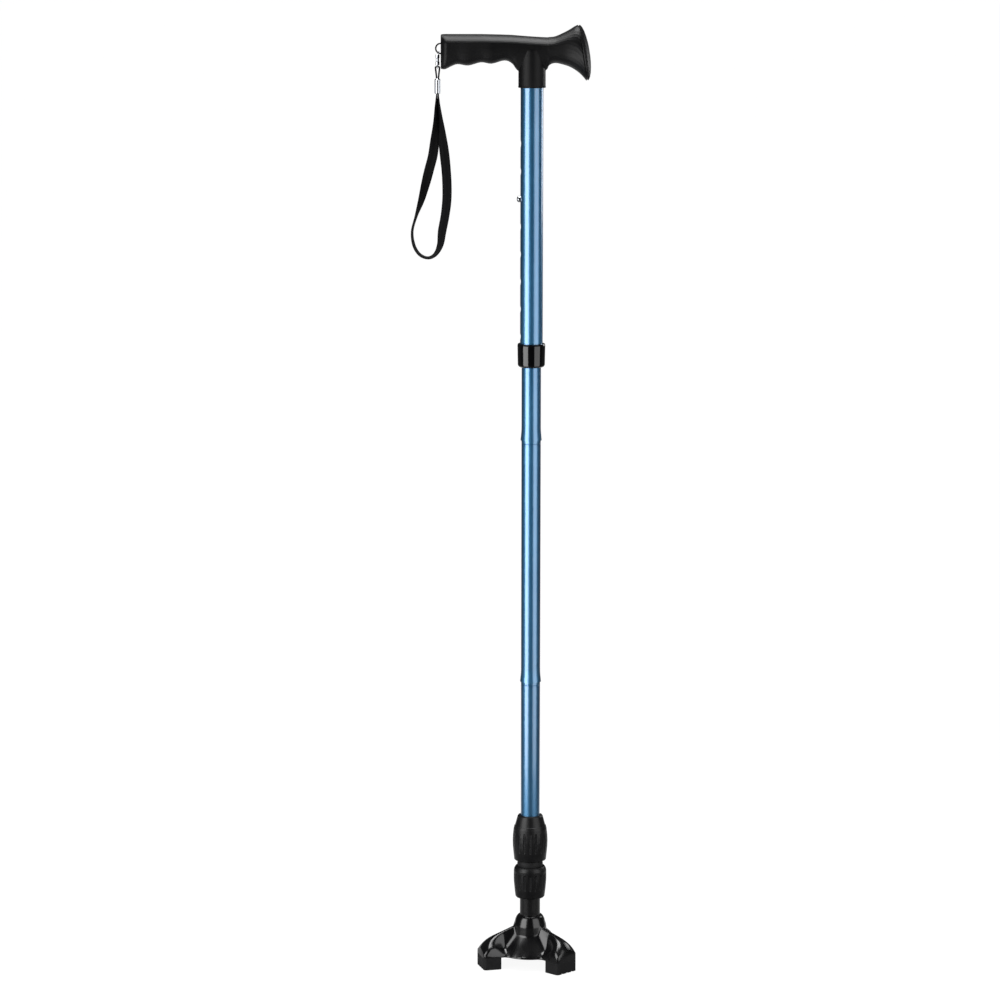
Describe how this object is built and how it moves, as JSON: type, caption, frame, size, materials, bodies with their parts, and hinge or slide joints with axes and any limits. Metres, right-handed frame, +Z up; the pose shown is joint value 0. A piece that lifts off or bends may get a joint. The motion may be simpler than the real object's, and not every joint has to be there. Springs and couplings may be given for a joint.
{
  "type": "folding walking cane",
  "caption": "Folding, height-adjustable blue aluminium walking cane with a T-shaped palm handle, wrist strap and a pivoting self-standing tripod foot.",
  "frame": {"origin": "on the floor, under the common axis of the tubes, with the cane standing straight on its foot", "axes": "+Z up along the tubes; -X towards the nose of the handle, which is the left of the picture; +Y away from the viewer"},
  "size_m": [0.174, 0.0973, 0.9388],
  "materials": {
    "blue_anodised_aluminium": "satin anodised",
    "gloss_black_plastic": "moulded gloss",
    "handle_plastic": "fine moulded grain",
    "sleeve_plastic": "matte moulded",
    "black_coated_tube": "semi-gloss coat",
    "pad_rubber": "matte rubber",
    "plain_steel": "plain turned steel",
    "bright_chrome": "bright plate",
    "elastic_cord": "braided sheath",
    "black_webbing": "woven webbing"
  },
  "bodies": {
    "base": {"tripod_base": "gloss_black_plastic", "foot_pad_right": "pad_rubber", "foot_pad_left": "pad_rubber", "foot_pad_rear": "pad_rubber", "neck_tube": "black_coated_tube", "neck_plug": "plain_steel", "hub_bolt": "plain_steel", "ball_seat": "sleeve_plastic", "pivot_lower_sleeve": "sleeve_plastic"},
    "liner": {"socket_liner": "pad_rubber"},
    "pivot": {"pivot_ball": "sleeve_plastic"},
    "lower_section": {"pivot_stud": "plain_steel", "pivot_washer": "plain_steel", "stud_nut": "plain_steel", "stud_plug": "plain_steel", "pivot_upper_sleeve": "sleeve_plastic", "lower_tube": "blue_anodised_aluminium", "lower_tube_plug": "blue_anodised_aluminium", "cord_anchor_lower": "sleeve_plastic", "shock_cord_lower": "elastic_cord"},
    "lower_link": {"shock_cord_low_bend": "elastic_cord"},
    "middle_section": {"middle_tube": "blue_anodised_aluminium", "middle_tube_plug": "blue_anodised_aluminium", "shock_cord_middle": "elastic_cord"},
    "upper_link": {"shock_cord_high_bend": "elastic_cord"},
    "inner_section": {"inner_tube": "blue_anodised_aluminium", "cord_anchor_upper": "sleeve_plastic", "shock_cord_upper": "elastic_cord", "button_spring": "plain_steel"},
    "button": {"snap_button": "bright_chrome"},
    "upper_section": {"upper_tube": "blue_anodised_aluminium", "collar": "handle_plastic", "handle": "handle_plastic", "strap_eye": "bright_chrome"},
    "link": {"strap_link": "bright_chrome"},
    "strap": {"strap_cord_loop": "elastic_cord", "strap_crimp": "bright_chrome", "wrist_strap": "black_webbing"}
  },
  "joints": [
    {"name": "base_tilt_x", "type": "hinge", "parent": "base", "child": "liner", "pos_m": [0, 0, 0.103], "axis": [1, 0, 0], "range_deg": [-10, 10], "stiffness_Nm_per_rad": 12},
    {"name": "base_tilt_y", "type": "hinge", "parent": "liner", "child": "pivot", "pos_m": [0, 0, 0.103], "axis": [0, 1, 0], "range_deg": [-10, 10], "stiffness_Nm_per_rad": 12},
    {"name": "base_swivel", "type": "hinge", "parent": "pivot", "child": "lower_section", "pos_m": [0, 0, 0.103], "axis": [0, 0, 1], "continuous": true},
    {"name": "fold_lower", "type": "hinge", "parent": "lower_section", "child": "lower_link", "pos_m": [-0.00484, -0.01941, 0.2966], "axis": [0.9703, -0.2419, 0], "range_deg": [0, 180], "stiffness_Nm_per_rad": 0.4, "springref_deg": -57.3},
    {"name": "lower_pull", "type": "slide", "parent": "lower_link", "child": "middle_section", "axis": [0, 0, 1], "range_m": [0, 0.0252]},
    {"name": "upper_pull", "type": "slide", "parent": "middle_section", "child": "upper_link", "axis": [0, 0, 1], "range_m": [0, 0.022]},
    {"name": "fold_upper", "type": "hinge", "parent": "upper_link", "child": "inner_section", "pos_m": [0.00484, 0.01941, 0.5368], "axis": [-0.9703, 0.2419, 0], "range_deg": [0, 180]},
    {"name": "height_slide", "type": "slide", "parent": "inner_section", "child": "upper_section", "axis": [0, 0, 1], "range_m": [-0.054, 0.108]},
    {"name": "button_press", "type": "slide", "parent": "inner_section", "child": "button", "axis": [1, 0, 0], "range_m": [0, 0.0051], "stiffness_N_per_m": 2500, "springref_m": -0.003, "deforming": ["button_spring"]},
    {"name": "link_swing", "type": "hinge", "parent": "upper_section", "child": "link", "pos_m": [-0.0887, 0, 0.9157], "axis": [0, 1, 0], "range_deg": [0, 95]},
    {"name": "strap_sway", "type": "hinge", "parent": "link", "child": "strap", "pos_m": [-0.09185, 0, 0.898], "axis": [1, 0, 0], "range_deg": [-60, 60]}
  ],
  "couplings": [
    {"joint": "fold_upper", "follows": "fold_lower", "ratio": 1},
    {"joint": "lower_pull", "follows": "fold_lower", "m_per_rad": 0.008},
    {"joint": "upper_pull", "follows": "fold_lower", "m_per_rad": 0.007}
  ]
}
